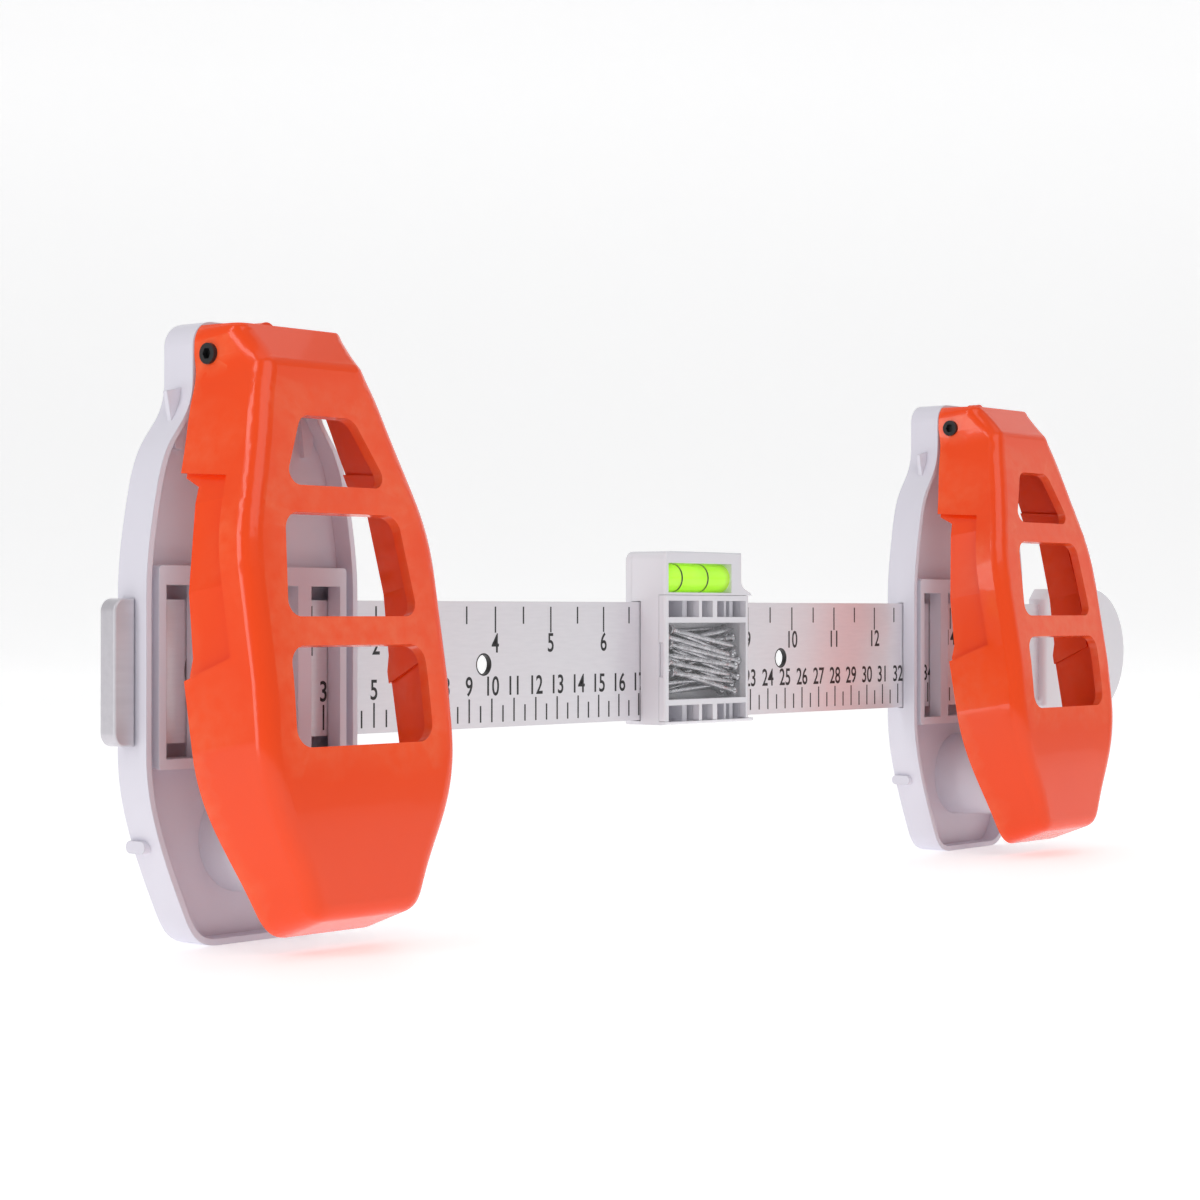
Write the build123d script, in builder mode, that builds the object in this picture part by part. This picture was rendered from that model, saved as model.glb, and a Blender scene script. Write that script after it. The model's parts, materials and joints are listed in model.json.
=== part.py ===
from build123d import *
from math import cos, radians, sin
import os

# Picture-hanging ruler: a flat scale carries two marking arms and a spirit-level slider.
#
# Each arm is a white two-part shell on the ruler with a sprung orange lever in front. Pressing
# the lever drives a plunger with a steel needle through the shell and pricks the wall.
# The slider holds a bubble vial over a nail box with a hinged cover.
#
# Frame: X along the ruler, +Y towards the wall, +Z up. Z = 0 is the surface that the arms stand
# on, X = 0 is the middle of the whole length and Y = 0 the middle of the whole depth.
# Most shapes are drawn on planes that face the user, in ruler coordinates: x from a part's own
# centre line, z from the ruler's centre line, and y from the ruler's printed face.

os.makedirs("parts", exist_ok=True)

# ---- driving dimensions, mm ----
RULER_Y = 21.48         # printed face of the ruler, in the object's frame
RULER_Z = 73.0          # ruler's centre line above the surface
ZERO_X = -219.8         # ruler's zero mark, where the left arm stands
ARM_X = {"left": ZERO_X, "right": ZERO_X + 361.5}
SLIDER_X = ZERO_X + 193.0

BLADE_HEIGHT = 38.0
BLADE_THICK = 1.6
BLADE_LEFT = -38.65     # blade's full-height left end, from zero
BLADE_RIGHT = 420.0     # blade's full-height right end
TONGUE_HALF = 13.0      # half height of the tongues inside the end caps
TONGUE_LEFT = 5.0       # lengths of the tongues
TONGUE_RIGHT = 24.0
MARK_HOLES = (96.4, 247.4)
MARK_HOLE_R = 3.0
HANG_HOLE_X = -12.5
HANG_HOLE_R = 8.5

LEFT_CAP = (-45.4, BLADE_LEFT)
LEFT_CAP_FRONT = -1.1
RIGHT_CAP = BLADE_RIGHT
RIGHT_CAP_FRONT = -3.0
D_LENGTH = 65.0
D_HALF = 25.0
CAP_BACK = 4.6
CAP_SCREW_X = (-42.0, 434.0)
CAP_SCREW_R = 1.1
CAP_HEAD_R = 2.1
CAP_SCREW_DEPTH = 4.8
CROSS_LONG = 2.4        # cross recess in the small screws
CROSS_WIDE = 0.6
CROSS_DEEP = 0.8

RIM_Y = -5.1            # front rim of an arm's shell
BACK_Y = 7.0            # wall face of an arm
SHELL_WALL = 1.8
FLOOR_Y = 1.0           # front of the shell's floor
FLOOR_BACK_Y = 3.0
PLATE_Y = 5.0           # front of the back plate
PLATE_FIT = 0.15        # gap between the back plate and the shell around it
CHANNEL_FRONT = -0.3    # ruler channel inside the arms and the slider
CHANNEL_BACK = 1.9
CHANNEL_HALF = 19.25

BAND_Y = -1.7           # front of the band that bridges the ruler beside the panel
PLATEAU_X = 34.0        # raised window panel: half width, top and bottom
PLATEAU_TOP = 28.0
PLATEAU_LOW = -25.6
PLATEAU_MIDDLE = (PLATEAU_TOP + PLATEAU_LOW) / 2
PLATEAU_HEIGHT = PLATEAU_TOP - PLATEAU_LOW
WINDOW_Z = 22.8
CENTRE_WINDOW = 15.5    # half width
SIDE_WINDOW = (20.5, 31.5)
GRIP_X = 24.0           # shallow recess in the wall face
GRIP_HEIGHT = 72.0
GRIP_DEEP = 0.6

BOSS_Z = -45.0          # axis of the marking plunger
BOSS_R = 15.2
BOSS_BORE = 12.8
BOSS_FRONT_Y = -20.4
NEEDLE_GUIDE_R = 3.4
NEEDLE_GUIDE_Y = -14.5
NEEDLE_R = 0.9
NEEDLE_BORE = 1.0

WAIST_HIGH = 20.0       # the waist is straight between these heights
WAIST_LOW = -21.0
TOP_ROUND = 6.5
# Half width of the waist, top and bottom, and points of the right edge above and below.
SHELL_UPPER = ((22.6, 77.0), (30.6, 60.0), (35.8, 43.0))
SHELL_LOWER = ((34.3, -43.0), (25.5, -64.0))
SHELL_OUTLINE = (38.3, 92.8, -73.0, SHELL_UPPER, SHELL_LOWER)
LEVER_UPPER = ((22.2, 82.0), (25.0, 72.0), (28.3, 62.0), (34.8, 43.0))
LEVER_LOWER = ((33.6, -43.0), (24.7, -61.0))
LEVER_HIGH = 94.0
LEVER_LOW = -70.3
LEVER_OUTLINE = (38.8, LEVER_HIGH, LEVER_LOW, LEVER_UPPER, LEVER_LOWER)
TOE_FLAT = 14.0         # half width of the flat bottom
LEVER_TOP = 91.6        # level top of the lever as it stands open

PLATE_SCREWS = ((-19.0, 56.0), (19.0, 56.0), (-23.0, -53.0), (23.0, -53.0))
PLATE_SCREW_R = 1.1
PLATE_HEAD_R = 2.1
PLATE_SCREW_DEPTH = 5.0
POST_R = 3.0

HINGE_Y = -9.9
HINGE_Z = 83.7
HINGE_R = 2.8           # shoulder of a hinge screw
THREAD_R = 1.5
LUG_IN = 13.6
LUG_OUT = 17.5
OPEN_ANGLE = 10.0       # degrees that the levers stand open

LEVER_REAR = -4.6       # lever depths, measured forwards from the hinge axis
LEVER_FRONT = 20.1      # flat middle of the front
LEVER_FLAT = (50.0, -15.0)
LEVER_TAPER = 4.6       # how much each flank draws in from rear to front
KINK_DEPTH = 18.0
TOE_DEPTH = 12.4        # depth of the front at the lever's bottom
KINK_Z = 78.0           # where the lever's front starts to slope back
SLOPE_TOP_DEPTH = 7.0
LEVER_SIDE = 2.6        # wall thicknesses
LEVER_FACE = 3.0
LEVER_ROUND = 5.2
RECESS_DEEP = 2.2
RECESS_WALL = 1.6
RECESS_SPREAD = 4.0     # how much longer the recess is at the rear edge, each way
FLANK_SLOPE = 0.34      # run of the flank above the waist, per height
FLANK_CLEAR = 15.0      # the cut for the recess starts this far outside the flank
PAD_DEPTH = 13.4        # flat pad inside the front that pushes the plunger
PAD_R = 9.0
RECESS_TOP = 48.5
RECESS_LOW = 1.0
RECESS_FRONT = 10.7
NOTCH_TOP = 4.6         # how far the rear edge is cut back along the recess
NOTCH_LOW = 1.6
RUNNING_GAP = 0.05
NUB_WIDTH = 6.6
NUB_HEIGHT = 2.2
HEEL_GAP = 0.12
NUB_LONG = 4.0
# Each window: top and bottom height, half widths there, and corner radii.
LEVER_WINDOWS = (
    (63.6, 44.5, 9.5, 19.0, 5.0, 3.4),
    (37.2, 9.9, 20.4, 23.6, 5.0, 4.0),
    (2.3, -23.7, 24.2, 24.8, 5.0, 5.0),
)

DOME_R = 40.0           # plunger's rounded head
PLUNGER_R = 12.7
PLUNGER_LENGTH = 27.4
PLUNGER_WALL = 1.6
HEAD_GAP = 0.3          # between the plunger's head and the lever
SOCKET_LENGTH = 4.5
NEEDLE_TAPER = 3.0
SPRING_R = 8.0
SPRING_WIRE_R = 0.6
SPRING_TURNS = 9
ARM_LEAF = 24.0         # half lengths of the leaf springs
SLIDER_LEAF = 15.0
LEAF_END = 2.0
LEAF_THICK = 0.4
LEAF_HEIGHT = 8.0
LEAF_TOP_Y = BLADE_THICK + 0.05
EAR_OUT = 22.1
HEX_R = 1.6
HEX_DEEP = 1.8
NEEDLE_OUT = 4.0        # how far the needle stands out of the wall face when pressed

SLIDER_LEFT = -22.4
SLIDER_RIGHT = 25.0
SLIDER_LOW = -20.4
SLIDER_TOP = 35.4
HOUSING_RIGHT = 18.4
SHOULDER = (26.5, 19.5)  # heights where the housing flares to the full width
SLIDER_FRONT = -10.6
SLIDER_SEAM = 3.4       # joint between the slider's body and its back
SLIDER_BACK = 6.4
TONGUE_HALF_Z = 19.1
HOOK_Z = 0.5            # ridge that hooks the slider's back into its body
COVER_Z = (-19.2, 21.2)
COVER_BACK = -7.85
COVER_SEAT = -7.8       # front of the nail box behind the cover
COVER_GAP = 0.1
BOX = (-20.9, 21.0, 12.4)       # nail box: left, right, half height
BOX_FLOOR = -1.0
COVER_WINDOW = (-20.8, 20.2, 12.3)
CELL_Z = 16.8           # centre height of the small cells, above and below
CELL_HEIGHT = 5.2
CELLS = ((-20.8, -5.0), (-3.4, 2.3), (4.7, 20.2))
POSTS = ((-8.0, 2.4), (13.6, 1.3), (16.9, 1.8))
POST_FRONT = -7.0
PIN_X = 21.2            # cover's hinge pin
PIN_Y = -9.2
PIN_R = 0.6
PIN_Z = (-20.0, 22.4)
KNUCKLE_R = 1.35
PANE_Y = (-10.4, -9.7)
VIAL_Z = 26.8
VIAL_Y = -5.2
VIAL_R = 4.7
VIAL_BORE = 3.9
VIAL_ENDS = (-20.9, 12.4)
VIAL_WALL = 1.0
BUBBLE_X = -6.1
BUBBLE_R = 2.1
BUBBLE_HALF = 3.1       # half length of the bubble's straight part
RING_OFFSET = 6.8
RING_WIDTH = 0.7
RING_THICK = 0.15
SLIDER_SCREWS = (-16.0, 12.0)
SLIDER_SCREW_Z = 33.0
SLIDER_SCREW_DEPTH = 8.0

NAIL_R = 0.75
NAIL_LENGTH = 34.0
NAIL_HEAD_R = 1.2
NAIL_HEAD = 0.8
NAIL_POINT = 2.4
# Layers of nails in the box: depth, slope in degrees, and the middle heights.
NAIL_LAYERS = (
    (-2.3, 3.0, (-9.8, -5.0, -0.2, 4.6, 9.4)),
    (-4.3, -21.0, (-4.9, 0.2, 5.1)),
    (-6.3, 13.0, (-7.4, -1.2, 6.6)),
    (-8.3, -18.0, (-5.9, -0.6, 4.9)),
)


# The plunger's dome stands just off the lever's push pad, open and pressed.
PAD_REACH = PAD_DEPTH - HEAD_GAP
DROP = HINGE_Z - BOSS_Z
DOME_CENTRE_Y = HINGE_Y + (DOME_R - PAD_REACH - DROP * sin(radians(OPEN_ANGLE))) / cos(
    radians(OPEN_ANGLE)
)
PLUNGER_TRAVEL = HINGE_Y + DOME_R - PAD_REACH - DOME_CENTRE_Y
DOME_APEX_Y = DOME_CENTRE_Y - DOME_R
HEAD_INNER_Y = DOME_APEX_Y + 3.6
SOCKET_Y = HEAD_INNER_Y + SOCKET_LENGTH


def facing(x, y, z=0.0):
    """A plane facing the user at ruler coordinates: sketch x is along X, sketch y is up."""
    return Plane((x, RULER_Y + y, RULER_Z + z), x_dir=(1, 0, 0), z_dir=(0, -1, 0))


def walling(x, y, z=0.0):
    """A plane facing the wall: sketch x runs towards -X, sketch y is up."""
    return Plane((x, RULER_Y + y, RULER_Z + z), x_dir=(-1, 0, 0), z_dir=(0, 1, 0))


def sideways(x, y=0.0, z=0.0):
    """A plane facing +X: sketch x is towards the wall, sketch y is up."""
    return Plane((x, RULER_Y + y, RULER_Z + z), x_dir=(0, 1, 0), z_dir=(1, 0, 0))


def upwards(x, y, z):
    """A level plane: sketch x is along X, sketch y towards the wall."""
    return Plane((x, RULER_Y + y, RULER_Z + z), x_dir=(1, 0, 0), z_dir=(0, 0, 1))


def save(piece, name):
    """Labels a finished piece and writes its file."""
    piece.part.label = name
    export_step(piece.part, f"parts/{name}.step")


def save_for_arms(piece, name):
    """Writes an arm's piece, built at X = 0, once for each arm."""
    for side, x in ARM_X.items():
        copy = piece.part.moved(Location((x, 0, 0)))
        copy.label = f"{side}_{name}"
        export_step(copy, f"parts/{side}_{name}.step")


def countersunk_screw(x, head_y, z, shank_r, head_r, length):
    """One countersunk screw with a cross recess, its head facing the wall."""
    with BuildPart() as screw:
        with BuildSketch(sideways(x, head_y, z)):
            with BuildLine():
                Polyline(
                    (0, 0),
                    (0, head_r),
                    (shank_r - head_r, shank_r),
                    (-length, shank_r),
                    (-length, 0),
                    (0, 0),
                )
            make_face()
        revolve(axis=Axis((x, RULER_Y, RULER_Z + z), (0, 1, 0)))
        with BuildSketch(walling(x, head_y, z)):
            Rectangle(CROSS_LONG, CROSS_WIDE)
            Rectangle(CROSS_WIDE, CROSS_LONG)
        extrude(amount=-CROSS_DEEP, mode=Mode.SUBTRACT)
    return screw.part


def bowed_leaf(x, half, rear_y):
    """A bowed leaf spring that rests on its ends at rear_y and rubs on the ruler's back."""
    inner = half - LEAF_END
    with BuildPart() as leaf:
        with BuildSketch(upwards(x, 0, -LEAF_HEIGHT / 2)):
            with BuildLine():
                ThreePointArc((-half, rear_y), (0, LEAF_TOP_Y), (half, rear_y))
                Line((half, rear_y), (inner, rear_y))
                ThreePointArc((inner, rear_y), (0, LEAF_TOP_Y + LEAF_THICK), (-inner, rear_y))
                Line((-inner, rear_y), (-half, rear_y))
            make_face()
        extrude(amount=LEAF_HEIGHT)
    return leaf.part


# ------------------------------------------------------------------ ruler
with BuildPart() as ruler_blade:
    with BuildSketch(facing(ZERO_X, 0)):
        with Locations(((BLADE_LEFT + BLADE_RIGHT) / 2, 0)):
            Rectangle(BLADE_RIGHT - BLADE_LEFT, BLADE_HEIGHT)
        with Locations((BLADE_LEFT, 0)):
            Rectangle(TONGUE_LEFT, 2 * TONGUE_HALF, align=(Align.MAX, Align.CENTER))
        with Locations((BLADE_RIGHT, 0)):
            Rectangle(TONGUE_RIGHT, 2 * TONGUE_HALF, align=(Align.MIN, Align.CENTER))
        with Locations([(x, 0) for x in MARK_HOLES]):
            Circle(MARK_HOLE_R, mode=Mode.SUBTRACT)
        with Locations((HANG_HOLE_X, 0)):
            Circle(HANG_HOLE_R, mode=Mode.SUBTRACT)
        with Locations([(x, 0) for x in CAP_SCREW_X]):
            Circle(CAP_SCREW_R, mode=Mode.SUBTRACT)
    extrude(amount=-BLADE_THICK)
save(ruler_blade, "ruler_blade")

# Silver cap on the ruler's left end: rounded on its outer side, square where the arm stops.
with BuildPart() as end_cap_left:
    with BuildSketch(facing(ZERO_X, CAP_BACK)) as cap_outline:
        with Locations(((LEFT_CAP[0] + LEFT_CAP[1]) / 2, 0)):
            Rectangle(LEFT_CAP[1] - LEFT_CAP[0], 2 * CHANNEL_HALF)
        fillet(cap_outline.vertices().group_by(Axis.X)[0], radius=3.4)
    extrude(amount=CAP_BACK - LEFT_CAP_FRONT)
    fillet(end_cap_left.faces().sort_by(Axis.Y)[0].edges(), radius=0.7)
    with BuildSketch(facing(ZERO_X, 0)):
        with Locations((BLADE_LEFT, 0)):
            Rectangle(TONGUE_LEFT, 2 * TONGUE_HALF, align=(Align.MAX, Align.CENTER))
    extrude(amount=-BLADE_THICK, mode=Mode.SUBTRACT)
    with Locations(walling(ZERO_X + CAP_SCREW_X[0], CAP_BACK)):
        CounterSinkHole(CAP_SCREW_R, CAP_HEAD_R, depth=CAP_SCREW_DEPTH)
save(end_cap_left, "end_cap_left")

# White D-shaped cap on the right end.
with BuildPart() as end_cap_right:
    with BuildSketch(facing(ZERO_X, CAP_BACK)) as d_outline:
        with BuildLine():
            Polyline((RIGHT_CAP, D_HALF - 4), (RIGHT_CAP, -D_HALF + 4))
            Line((RIGHT_CAP, -D_HALF + 4), (RIGHT_CAP + 4, -D_HALF))
            Line((RIGHT_CAP + 4, -D_HALF), (RIGHT_CAP + 36, -D_HALF))
            ThreePointArc(
                (RIGHT_CAP + 36, -D_HALF), (RIGHT_CAP + D_LENGTH, 0), (RIGHT_CAP + 36, D_HALF)
            )
            Line((RIGHT_CAP + 36, D_HALF), (RIGHT_CAP + 4, D_HALF))
            Line((RIGHT_CAP + 4, D_HALF), (RIGHT_CAP, D_HALF - 4))
        make_face()
    extrude(amount=CAP_BACK - RIGHT_CAP_FRONT)
    fillet(end_cap_right.faces().sort_by(Axis.Y)[0].edges(), radius=2.0)
    fillet(end_cap_right.faces().sort_by(Axis.Y)[-1].edges(), radius=0.8)
    with BuildSketch(facing(ZERO_X, 0)):
        with Locations((BLADE_RIGHT, 0)):
            Rectangle(TONGUE_RIGHT, 2 * TONGUE_HALF, align=(Align.MIN, Align.CENTER))
    extrude(amount=-BLADE_THICK, mode=Mode.SUBTRACT)
    with Locations(walling(ZERO_X + CAP_SCREW_X[1], CAP_BACK)):
        CounterSinkHole(CAP_SCREW_R, CAP_HEAD_R, depth=CAP_SCREW_DEPTH)
save(end_cap_right, "end_cap_right")

# The two countersunk screws that hold the end caps on the blade.
with BuildPart() as cap_screws:
    for screw_x in CAP_SCREW_X:
        add(
            countersunk_screw(
                ZERO_X + screw_x, CAP_BACK, 0, CAP_SCREW_R, CAP_HEAD_R, CAP_SCREW_DEPTH
            )
        )
save(cap_screws, "cap_screws")


# ------------------------------------------------------------------ marking arms
def arm_outline(waist, top, bottom, upper, lower, inset=0.0):
    """An arm's outline face: a narrow neck that swells to the waist and draws in to the toe.

    waist is a half width, upper and lower are points on the right edge above and below the
    waist, and the first upper point is where the straight neck ends. inset moves the whole
    outline inwards.
    """
    side = waist - inset
    low = bottom + inset
    flank = [(px - inset, pz) for px, pz in upper]
    neck = flank[0][0]
    with BuildSketch() as outline:
        with BuildLine():
            Line((0, top - inset), (neck, top - inset))
            Line((neck, top - inset), flank[0])
            Spline(*flank, (side, WAIST_HIGH), tangents=((0, -1), (0, -1)))
            Line((side, WAIST_HIGH), (side, WAIST_LOW))
            Spline(
                (side, WAIST_LOW),
                (lower[0][0] - inset, lower[0][1]),
                (lower[1][0] - 0.75 * inset, lower[1][1] + 0.65 * inset),
                (TOE_FLAT, low),
                tangents=((0, -1), (-1, 0)),
            )
            Line((TOE_FLAT, low), (0, low))
            mirror(about=Plane.YZ)
        make_face()
        top_corners = outline.vertices().group_by(Axis.Y)[-1].sort_by(Axis.X)
        fillet([top_corners[0], top_corners[-1]], radius=max(TOP_ROUND - inset, 1.0))
    return outline.sketch


SHELL_FACE = arm_outline(*SHELL_OUTLINE)
SHELL_MOUTH = arm_outline(*SHELL_OUTLINE, inset=SHELL_WALL)
PLATE_FACE = arm_outline(*SHELL_OUTLINE, inset=SHELL_WALL + PLATE_FIT)


def make_shell():
    """The white front shell of an arm, with its window panel, hinge lugs and plunger guide."""
    with BuildPart() as shell:
        with BuildSketch(facing(0, BACK_Y)):
            add(SHELL_FACE)
        extrude(amount=BACK_Y - RIM_Y)
        fillet(shell.faces().sort_by(Axis.Y)[-1].edges(), radius=1.0)
        # Front hollow, which leaves a band across the ruler and a raised panel on that band.
        with BuildSketch(facing(0, BAND_Y)):
            add(SHELL_MOUTH)
            with Locations((0, PLATEAU_MIDDLE)):
                RectangleRounded(2 * PLATEAU_X, PLATEAU_HEIGHT, 1.2, mode=Mode.SUBTRACT)
        extrude(amount=BAND_Y - RIM_Y, mode=Mode.SUBTRACT)
        with BuildSketch(facing(0, FLOOR_Y)):
            add(SHELL_MOUTH)
            with Locations((0, PLATEAU_MIDDLE)):
                Rectangle(100, PLATEAU_HEIGHT, mode=Mode.SUBTRACT)
        extrude(amount=FLOOR_Y - BAND_Y, mode=Mode.SUBTRACT)
        with BuildSketch(facing(0, BACK_Y)):
            add(SHELL_MOUTH)
        extrude(amount=BACK_Y - FLOOR_BACK_Y, mode=Mode.SUBTRACT)

        # Plunger guide.
        with BuildSketch(facing(0, FLOOR_BACK_Y)):
            with Locations((0, BOSS_Z)):
                Circle(BOSS_R)
        extrude(amount=FLOOR_BACK_Y - BOSS_FRONT_Y, taper=2.4)
        with BuildSketch(facing(0, FLOOR_BACK_Y)):
            with Locations((0, BOSS_Z)):
                Circle(BOSS_BORE)
        extrude(amount=FLOOR_BACK_Y - BOSS_FRONT_Y, mode=Mode.SUBTRACT)

        # Hinge lugs, inside the lever's ears.
        for left in (-LUG_OUT, LUG_IN):
            with BuildSketch(sideways(left)):
                with Locations((HINGE_Y, HINGE_Z)):
                    Circle(4.3)
                with Locations((FLOOR_Y, HINGE_Z - 3)):
                    Rectangle(3.0, 12.0)
                make_hull()
            extrude(amount=LUG_OUT - LUG_IN)
        with BuildSketch(sideways(-LUG_OUT)):
            with Locations((HINGE_Y, HINGE_Z)):
                Circle(THREAD_R)
        extrude(amount=2 * LUG_OUT, mode=Mode.SUBTRACT)

        # A tapered rib each side of the upper floor, and a small ridge on each flank.
        with BuildSketch(facing(0, FLOOR_Y)) as ribs:
            with BuildLine():
                Polyline((19.6, 76), (27.6, 74), (24.6, 59), (22.0, 58.6), (19.6, 76))
            make_face()
            mirror(about=Plane.YZ)
        extrude(amount=1.6)
        for flank in (-1, 1):
            with BuildSketch(sideways(flank * 32.0, 0, BOSS_Z - 1)):
                with Locations((3.0, 0)):
                    SlotOverall(7.6, 3.4)
            extrude(amount=flank * 3.2)

        # Ruler channel, windows, and posts for the back plate's screws.
        with BuildSketch(facing(0, FLOOR_BACK_Y)):
            Rectangle(2 * (SHELL_OUTLINE[0] - SHELL_WALL), 2 * WINDOW_Z)
        extrude(amount=FLOOR_BACK_Y - CHANNEL_FRONT, mode=Mode.SUBTRACT)
        with BuildSketch(facing(0, CHANNEL_BACK)):
            Rectangle(90, 2 * CHANNEL_HALF)
        extrude(amount=CHANNEL_BACK - CHANNEL_FRONT, mode=Mode.SUBTRACT)
        with BuildSketch(facing(0, FLOOR_Y)):
            Rectangle(2 * CENTRE_WINDOW, 2 * WINDOW_Z)
            middle = sum(SIDE_WINDOW) / 2
            with Locations((-middle, 0), (middle, 0)):
                Rectangle(SIDE_WINDOW[1] - SIDE_WINDOW[0], 2 * WINDOW_Z)
        extrude(amount=FLOOR_Y - RIM_Y, mode=Mode.SUBTRACT)
        with BuildSketch(facing(0, PLATE_Y)):
            with Locations(*PLATE_SCREWS):
                Circle(POST_R)
        extrude(amount=PLATE_Y - FLOOR_BACK_Y)
        with BuildSketch(facing(0, PLATE_Y)):
            with Locations(*PLATE_SCREWS):
                Circle(PLATE_SCREW_R)
        extrude(amount=PLATE_Y - BACK_Y + PLATE_SCREW_DEPTH, mode=Mode.SUBTRACT)
    save_for_arms(shell, "base_shell")


def make_back_plate():
    """The plate that closes an arm's shell on the wall side and guides the needle."""
    with BuildPart() as plate:
        with BuildSketch(facing(0, BACK_Y)):
            add(PLATE_FACE)
        extrude(amount=BACK_Y - PLATE_Y)
        with BuildSketch(facing(0, PLATE_Y)):
            with Locations((0, BOSS_Z)):
                Circle(NEEDLE_GUIDE_R)
        extrude(amount=PLATE_Y - NEEDLE_GUIDE_Y)
        with BuildSketch(facing(0, BACK_Y)):
            with Locations((0, BOSS_Z)):
                Circle(NEEDLE_BORE)
        extrude(amount=BACK_Y - NEEDLE_GUIDE_Y, mode=Mode.SUBTRACT)
        for screw_x, screw_z in PLATE_SCREWS:
            with Locations(walling(screw_x, BACK_Y, screw_z)):
                CounterSinkHole(PLATE_SCREW_R, PLATE_HEAD_R, depth=BACK_Y - PLATE_Y)
        with BuildSketch(walling(0, BACK_Y)):
            RectangleRounded(2 * GRIP_X, GRIP_HEIGHT, 3.0)
        extrude(amount=-GRIP_DEEP, mode=Mode.SUBTRACT)
    save_for_arms(plate, "back_plate")


def lever_plane(depth):
    """A plane across an open lever: sketch x along X, sketch y up the closed lever's height."""
    tilt = radians(OPEN_ANGLE)
    up = Vector(0, sin(tilt), cos(tilt))
    out = Vector(0, -cos(tilt), sin(tilt))
    hinge = Vector(0, RULER_Y + HINGE_Y, RULER_Z + HINGE_Z)
    return Plane(hinge - up * HINGE_Z + out * depth, x_dir=(1, 0, 0), z_dir=out)


def lever_side():
    """A plane across the arm through an open lever: sketch x is depth, sketch y height."""
    flat = lever_plane(0)
    return Plane(flat.origin, x_dir=flat.z_dir, z_dir=(-1, 0, 0))


def lever_block(inset, face, rounding):
    """The lever's outer form, or its inside when inset and face are wall thicknesses."""
    front_depth = LEVER_FRONT - face
    with BuildPart() as block:
        with BuildSketch(lever_plane(LEVER_REAR)):
            add(arm_outline(*LEVER_OUTLINE, inset=inset))
        with BuildSketch(lever_plane(front_depth + 0.5)):
            add(arm_outline(*LEVER_OUTLINE, inset=inset + LEVER_TAPER))
        loft()
        # The front is flat in the middle, curls back to the toe and slopes back to the top.
        with BuildSketch(lever_side()):
            with BuildLine():
                Line((SLOPE_TOP_DEPTH - face, LEVER_HIGH + 1), (KINK_DEPTH - face, KINK_Z))
                Spline(
                    (KINK_DEPTH - face, KINK_Z),
                    (front_depth, LEVER_FLAT[0]),
                    (front_depth, LEVER_FLAT[1]),
                    (TOE_DEPTH - face, LEVER_LOW),
                )
                Polyline(
                    (TOE_DEPTH - face, LEVER_LOW),
                    (TOE_DEPTH - face, LEVER_LOW - 5),
                    (front_depth + 5, LEVER_LOW - 5),
                    (front_depth + 5, LEVER_HIGH + 1),
                    (SLOPE_TOP_DEPTH - face, LEVER_HIGH + 1),
                )
            make_face()
        extrude(amount=60, both=True, mode=Mode.SUBTRACT)
        if rounding:
            flat = lever_plane(0)
            front = block.faces().sort_by(Axis((0, 0, 0), flat.z_dir))[-1]
            slope = block.faces().sort_by(Axis((0, 0, 0), flat.z_dir + flat.y_dir))[-1]
            rims = front.edges() + [e for e in slope.edges() if e not in front.edges()]
            fillet(rims, radius=rounding)
    return block.part


def window_face(top_z, bottom_z, top_half, bottom_half, top_round, bottom_round):
    """One window of the lever: a trapezoid with rounded corners."""
    with BuildSketch() as window:
        with BuildLine():
            Polyline(
                (-top_half, top_z),
                (top_half, top_z),
                (bottom_half, bottom_z),
                (-bottom_half, bottom_z),
                (-top_half, top_z),
            )
        make_face()
        fillet(window.vertices().group_by(Axis.Y)[-1], radius=top_round)
        fillet(window.vertices().group_by(Axis.Y)[0], radius=bottom_round)
    return window.sketch


def flank_blocks(near, far, rear, grow):
    """Blocks along both flanks at the finger recess, between two insets from the outline."""
    upper = LEVER_UPPER[3]
    with BuildPart() as blocks:
        for depth, spread in ((rear, RECESS_SPREAD), (RECESS_FRONT + grow, 0)):
            taper = LEVER_TAPER * (depth - LEVER_REAR) / (LEVER_FRONT - LEVER_REAR)
            high = RECESS_TOP + spread + grow
            edge = [
                (LEVER_OUTLINE[0] - taper, RECESS_LOW - spread - grow),
                (LEVER_OUTLINE[0] - taper, WAIST_HIGH),
                (upper[0] - taper, upper[1]),
                (upper[0] - taper - (high - upper[1]) * FLANK_SLOPE, high),
            ]
            with BuildSketch(lever_plane(depth)):
                with BuildLine():
                    Polyline(
                        *[(px - near, pz) for px, pz in edge],
                        *[(px - far, pz) for px, pz in reversed(edge)],
                        close=True,
                    )
                make_face()
        loft(ruled=True)
        mirror(about=Plane.YZ)
    return blocks.part


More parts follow.
